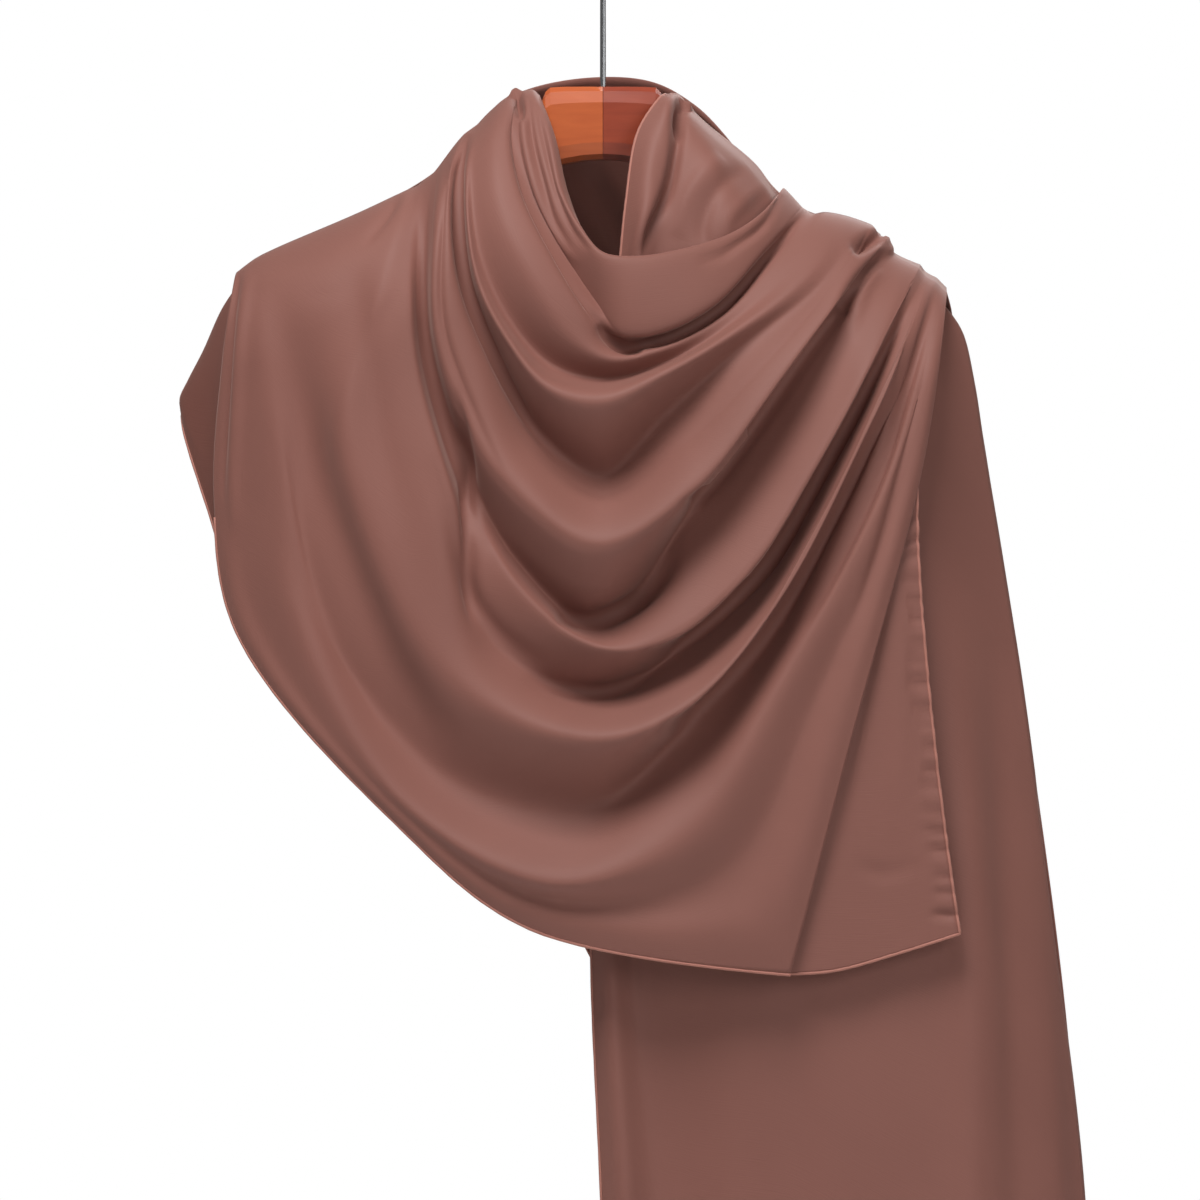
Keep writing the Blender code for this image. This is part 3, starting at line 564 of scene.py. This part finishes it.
# short puckers pulled in by the hem's stitches, one to each PUCKER_GAP, unevenly placed
PUCKERS, PUCKER_FROM, PUCKER_GAP = 20, -262.0, 12.6
EDGE_TOP, EDGE_LEAN = (188.0, -236.0), 0.094    # the side hem's upper end and its slant
for k in range(PUCKERS):
    up = PUCKER_FROM - PUCKER_GAP * k - 2.0 * math.sin(2.3 * k)
    edge = EDGE_TOP[0] + (EDGE_TOP[1] - up) * EDGE_LEAN
    CORNER_CREASES.append((-2.2 - 0.8 * math.sin(1.7 * k), 3.0,
                           (edge - 16 - 3 * math.sin(k), up + 1.5), (edge - 6, up), (edge + 4, up)))
corner = press(table_points(CORNER, (12, 12, 12), 8), CORNER_CREASES)
stole_corner = cloth("satin_corner", corner, satin)
corner_hem = rolled_hem("satin_corner_hem", np.concatenate([corner[:-1, -1], corner[-1, ::-1]]),
                        hem_highlight_satin)
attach(stole_corner, "root")
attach(corner_hem, "root")
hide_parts("stole_end_corner")

# ---- the end behind the right shoulder -------------------------------------------------------
# The same end where it falls behind the shoulder in soft pleats, out of sight in front.
FALL = (
    # name, steps, neck_side, second, third, fourth, arm_side
    ("ridge", 3, (116, -72, 7.1), (140, -81, 7.1), (165, -89.5, 7.2), (188, -111, 7.4),
     (209, -123, 7.6)),
    ("shoulder_back", 3, (108, -90, 51), (136, -100, 56), (162, -110, 54), (190, -124, 46),
     (214, -140, 32)),
    ("blade", 3, (104, -170, 80), (130, -176, 82), (160, -184, 78), (190, -192, 68),
     (218, -200, 54)),
    ("low", 3, (98, -300, 86), (126, -310, 87), (158, -310, 83), (192, -300, 74),
     (224, -290, 60)),
    ("end_hem", 0, (92, -452, 88), (122, -430, 88), (158, -400, 84), (196, -370, 75),
     (230, -345, 62)),
)
FALL_ACROSS = (25, 25, 25, 25)
FALL_PLEAT, FALL_PLEATS = 5.0, 3.5      # the depth of the pleats and how many there are
FALL_CREASES = (
    (1.5, 5.0, (118, -120), (112, -250), (106, -400)),
    (-1.5, 5.0, (200, -140), (206, -230), (210, -330)),
)


def fall_points(across_steps, finer):
    """The fall's table with its row of upright pleats."""
    points = table_points(FALL, across_steps, finer)
    n, m = points.shape[:2]
    v = np.linspace(0.0, 1.0, n)[:, None]
    u = np.linspace(0.0, 1.0, m)[None, :]
    points[..., 1] += FALL_PLEAT * np.sin(2 * np.pi * FALL_PLEATS * u) * np.clip(v * 3.0, 0.0, 1.0)
    return points


fall = press(fall_points(FALL_ACROSS, 8), FALL_CREASES)
stole_fall = cloth("satin_fall", fall, satin)
fall_hem = rolled_hem("satin_fall_hem", np.concatenate([fall[:-1, 0], fall[-1]]), hem_highlight_satin)
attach(stole_fall, "root")
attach(fall_hem, "root")
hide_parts("stole_end_behind")

# ---- the hanger ------------------------------------------------------------------------------
# Two halves of hardwood glued at the middle, stained reddish and varnished to a gloss, the
# left half cut where the grain is lighter.
def varnished(name, light, dark, grain_turn):
    """Stained wood under clear varnish; the grain runs along the arm."""
    made = bpy.data.materials.new(name)
    made.use_nodes = True
    tree = made.node_tree
    shader = tree.nodes["Principled BSDF"]
    shader.inputs["Roughness"].default_value = 0.38
    shader.inputs["Coat Weight"].default_value = 0.5
    shader.inputs["Coat Roughness"].default_value = 0.12
    where = add(tree, "ShaderNodeTexCoord")
    turned = add(tree, "ShaderNodeMapping", [(where.outputs["Object"], "Vector")],
                 in_Rotation=(0.0, grain_turn, 0.0), in_Scale=(28.0, 160.0, 190.0))
    grain = add(tree, "ShaderNodeTexNoise", [(turned.outputs["Vector"], "Vector")],
                in_Scale=1.0, in_Detail=4.0, in_Distortion=0.6)
    tone = add(tree, "ShaderNodeMix", [(grain.outputs["Fac"], "Factor")], data_type="RGBA")
    tone.inputs["A"].default_value = linear(dark)
    tone.inputs["B"].default_value = linear(light)
    tree.links.new(tone.outputs["Result"], shader.inputs["Base Color"])
    return made


for node, light, dark, turn in (
        ("hanger_left_half", "#c4622f", "#a84a20", math.radians(24)),
        ("hanger_right_half", "#9a3f22", "#7e2c16", math.radians(-24))):
    wood = varnished("varnished_" + node, light, dark, turn)
    for slot in bpy.data.objects[node].material_slots:
        slot.material = wood

# The hook: steel wire, plated and polished, dull grey where it mirrors the room.
steel = bpy.data.materials.new("polished_steel_wire")
steel.use_nodes = True
shader = steel.node_tree.nodes["Principled BSDF"]
shader.inputs["Base Color"].default_value = linear("#b9babc")
shader.inputs["Metallic"].default_value = 1.0
shader.inputs["Roughness"].default_value = 0.22
for slot in bpy.data.objects["hanger_hook"].material_slots:
    slot.material = steel

# ---- the studio --------------------------------------------------------------------------------
# A plain pale floor and background, a large soft key light high at the left, a soft fill
# from the right and a soft light from behind.
FLOOR_SIZE, FLOOR_UP, FLOOR_GLOW = 12.0, -1.35, 0.6
SEEN_LEVEL, LIGHT_LEVEL = 1.0, 0.14     # the background as seen, and as it lights the cloth
bpy.ops.mesh.primitive_plane_add(size=FLOOR_SIZE, location=(0.0, 0.0, FLOOR_UP))
floor = bpy.context.object
floor.name = "studio_floor"
paint = bpy.data.materials.new("white_paint")
paint.use_nodes = True
shader = paint.node_tree.nodes["Principled BSDF"]
shader.inputs["Base Color"].default_value = linear("#fafafa")
shader.inputs["Roughness"].default_value = 0.9
shader.inputs["Emission Color"].default_value = linear("#ffffff")
shown = add(paint.node_tree, "ShaderNodeLightPath")
glow = add(paint.node_tree, "ShaderNodeMapRange",
           [(shown.outputs["Is Camera Ray"], "Value")], in_To_Min=0.0, in_To_Max=FLOOR_GLOW)
paint.node_tree.links.new(glow.outputs["Result"], shader.inputs["Emission Strength"])
floor.data.materials.append(paint)

world = bpy.data.worlds.new("studio")
bpy.context.scene.world = world
world.use_nodes = True
backdrop = world.node_tree.nodes["Background"]
backdrop.inputs["Color"].default_value = linear("#ffffff")
seen = add(world.node_tree, "ShaderNodeLightPath")
level = add(world.node_tree, "ShaderNodeMapRange",
            [(seen.outputs["Is Camera Ray"], "Value")], in_To_Min=LIGHT_LEVEL,
            in_To_Max=SEEN_LEVEL)
world.node_tree.links.new(level.outputs["Result"], backdrop.inputs["Strength"])
bpy.context.scene.view_settings.view_transform = "Standard"


def lamp(name, place, aim, size, power):
    """A square soft box at place, facing aim."""
    data = bpy.data.lights.new(name, "AREA")
    data.size, data.energy = size, power
    made = placed(name, data)
    made.location = place
    way = [a - p for a, p in zip(aim, place)]
    reach = math.hypot(way[0], way[1])
    made.rotation_euler = (math.atan2(reach, -way[2]), 0.0, math.atan2(-way[0], way[1]))


CHEST_AT = (0.0, -0.05, -0.35)
lamp("key", (-0.45, -1.3, 1.7), CHEST_AT, 1.1, 72.0)
lamp("fill", (1.3, -2.4, 0.3), CHEST_AT, 1.2, 19.0)
lamp("back", (0.9, 2.2, 1.3), CHEST_AT, 1.4, 34.0)

# ---- the camera ----------------------------------------------------------------------------------
# Level with the middle of the picture, which takes in 720 mm at the chest.
PICTURE, CAMERA_AWAY, CHEST_PLANE = 0.720, 4.5, 0.060
PICTURE_MIDDLE = (-0.0018, -0.312)      # across and up from the top of the block
camera = placed("camera", bpy.data.cameras.new("camera"))
camera.location = (PICTURE_MIDDLE[0], -CAMERA_AWAY, PICTURE_MIDDLE[1] - HOOK_DROP * MM)
camera.rotation_euler = (math.radians(90), 0.0, 0.0)
camera.data.lens = camera.data.sensor_width * (CAMERA_AWAY - CHEST_PLANE) / PICTURE
bpy.context.scene.camera = camera
